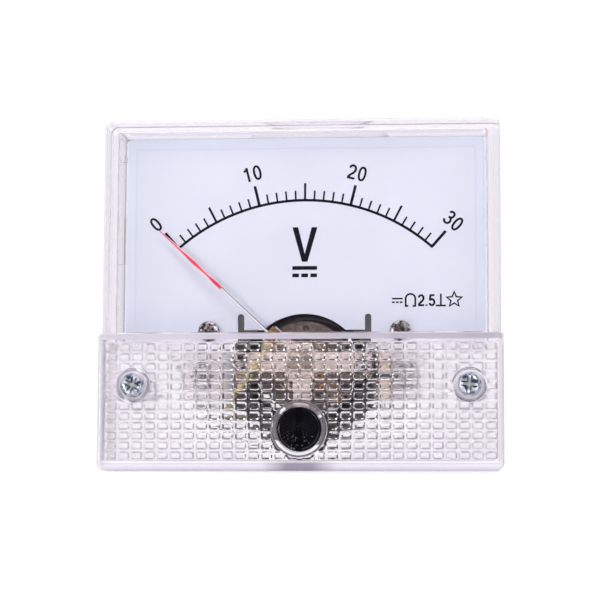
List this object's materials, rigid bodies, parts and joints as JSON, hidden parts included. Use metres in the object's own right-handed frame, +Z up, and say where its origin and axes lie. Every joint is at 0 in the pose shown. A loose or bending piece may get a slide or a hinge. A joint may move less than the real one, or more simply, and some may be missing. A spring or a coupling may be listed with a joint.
{
  "type": "analog panel meter",
  "caption": "Clear-cased moving-coil panel voltmeter: white dial with a 0 to 30 scale, red pointer, slotted zero adjuster, round rear barrel, threaded rear terminals.",
  "frame": {"origin": "on the axis of the rear barrel, at the flange's back face, which is the plane of the panel", "axes": "+Y along the barrel axis into the panel, so the dial faces -Y; +X to the right as seen from the front; +Z up the dial"},
  "size_m": [0.064, 0.0535, 0.056],
  "materials": {
    "clear_case": "gloss",
    "clear_base": "gloss",
    "brass_stud": "satin",
    "zinc_screw": "satin",
    "dial_white": "satin",
    "nickel_screw": "polished",
    "dark_moulding": "matte",
    "soft_iron": "satin",
    "core_steel": "satin",
    "brass": "satin",
    "bridge_metal": "satin",
    "hairspring_bronze": "satin",
    "tinned": "satin",
    "resistor_body": "satin",
    "yellow_wire": "satin",
    "black_plastic": "gloss",
    "aluminium_former": "satin",
    "copper_wire": "gloss",
    "pivot_steel": "polished",
    "pointer_aluminium": "satin"
  },
  "bodies": {
    "root": {"front_cover": "clear_case", "base_housing": "clear_base", "mounting_studs": "zinc_screw", "cover_screws": "zinc_screw", "dial_plate": "dial_white", "dial_screws": "nickel_screw", "movement_frame": "dark_moulding", "movement_screws": "nickel_screw", "yoke_ring": "soft_iron", "core_magnet": "core_steel", "core_holder": "brass", "core_screws": "brass", "front_bridge": "bridge_metal", "rear_bridge": "bridge_metal", "front_bridge_screws": "nickel_screw", "rear_bridge_screws": "nickel_screw", "front_jewel_screw": "brass", "rear_jewel_screw": "brass", "front_lock_nut": "brass", "rear_lock_nut": "brass", "rear_spring_anchor": "brass", "rear_hairspring": "hairspring_bronze", "terminal_studs": "brass_stud", "inner_terminal_nuts": "brass_stud", "solder_tags": "tinned", "terminal_seat_nuts": "brass_stud", "terminal_washers": "zinc_screw", "terminal_lock_washers": "zinc_screw", "terminal_outer_nuts": "brass_stud", "series_resistor": "resistor_body", "resistor_leads": "tinned", "lever_lead_wire": "yellow_wire"},
    "zero_adjuster_screw": {"zero_adjuster": "black_plastic", "adjuster_retainer": "zinc_screw"},
    "zero_lever_arm": {"zero_lever": "bridge_metal", "front_hairspring": "hairspring_bronze"},
    "moving_coil": {"coil_former": "aluminium_former", "coil_winding": "copper_wire", "front_staff": "pivot_steel", "rear_staff": "pivot_steel", "rear_collet": "brass", "balance_cross": "brass", "pointer": "pointer_aluminium", "balance_weights": "brass"}
  },
  "joints": [
    {"name": "zero_adjust", "type": "hinge", "parent": "root", "child": "zero_adjuster_screw", "pos_m": [0, -0.0135, -0.0215], "axis": [0, 1, 0], "range_deg": [-45, 45]},
    {"name": "zero_lever_turn", "type": "hinge", "parent": "root", "child": "zero_lever_arm", "pos_m": [0, -0.0095, -0.0109], "axis": [0, 1, 0], "range_deg": [-5, 5]},
    {"name": "pointer_swing", "type": "hinge", "parent": "zero_lever_arm", "child": "moving_coil", "pos_m": [0, -0.0069, -0.0109], "axis": [0, 1, 0], "range_deg": [-3, 96], "stiffness_Nm_per_rad": 0.00002, "deforming": ["front_hairspring"]}
  ],
  "couplings": [
    {"joint": "zero_lever_turn", "follows": "zero_adjust", "ratio": -0.098}
  ]
}
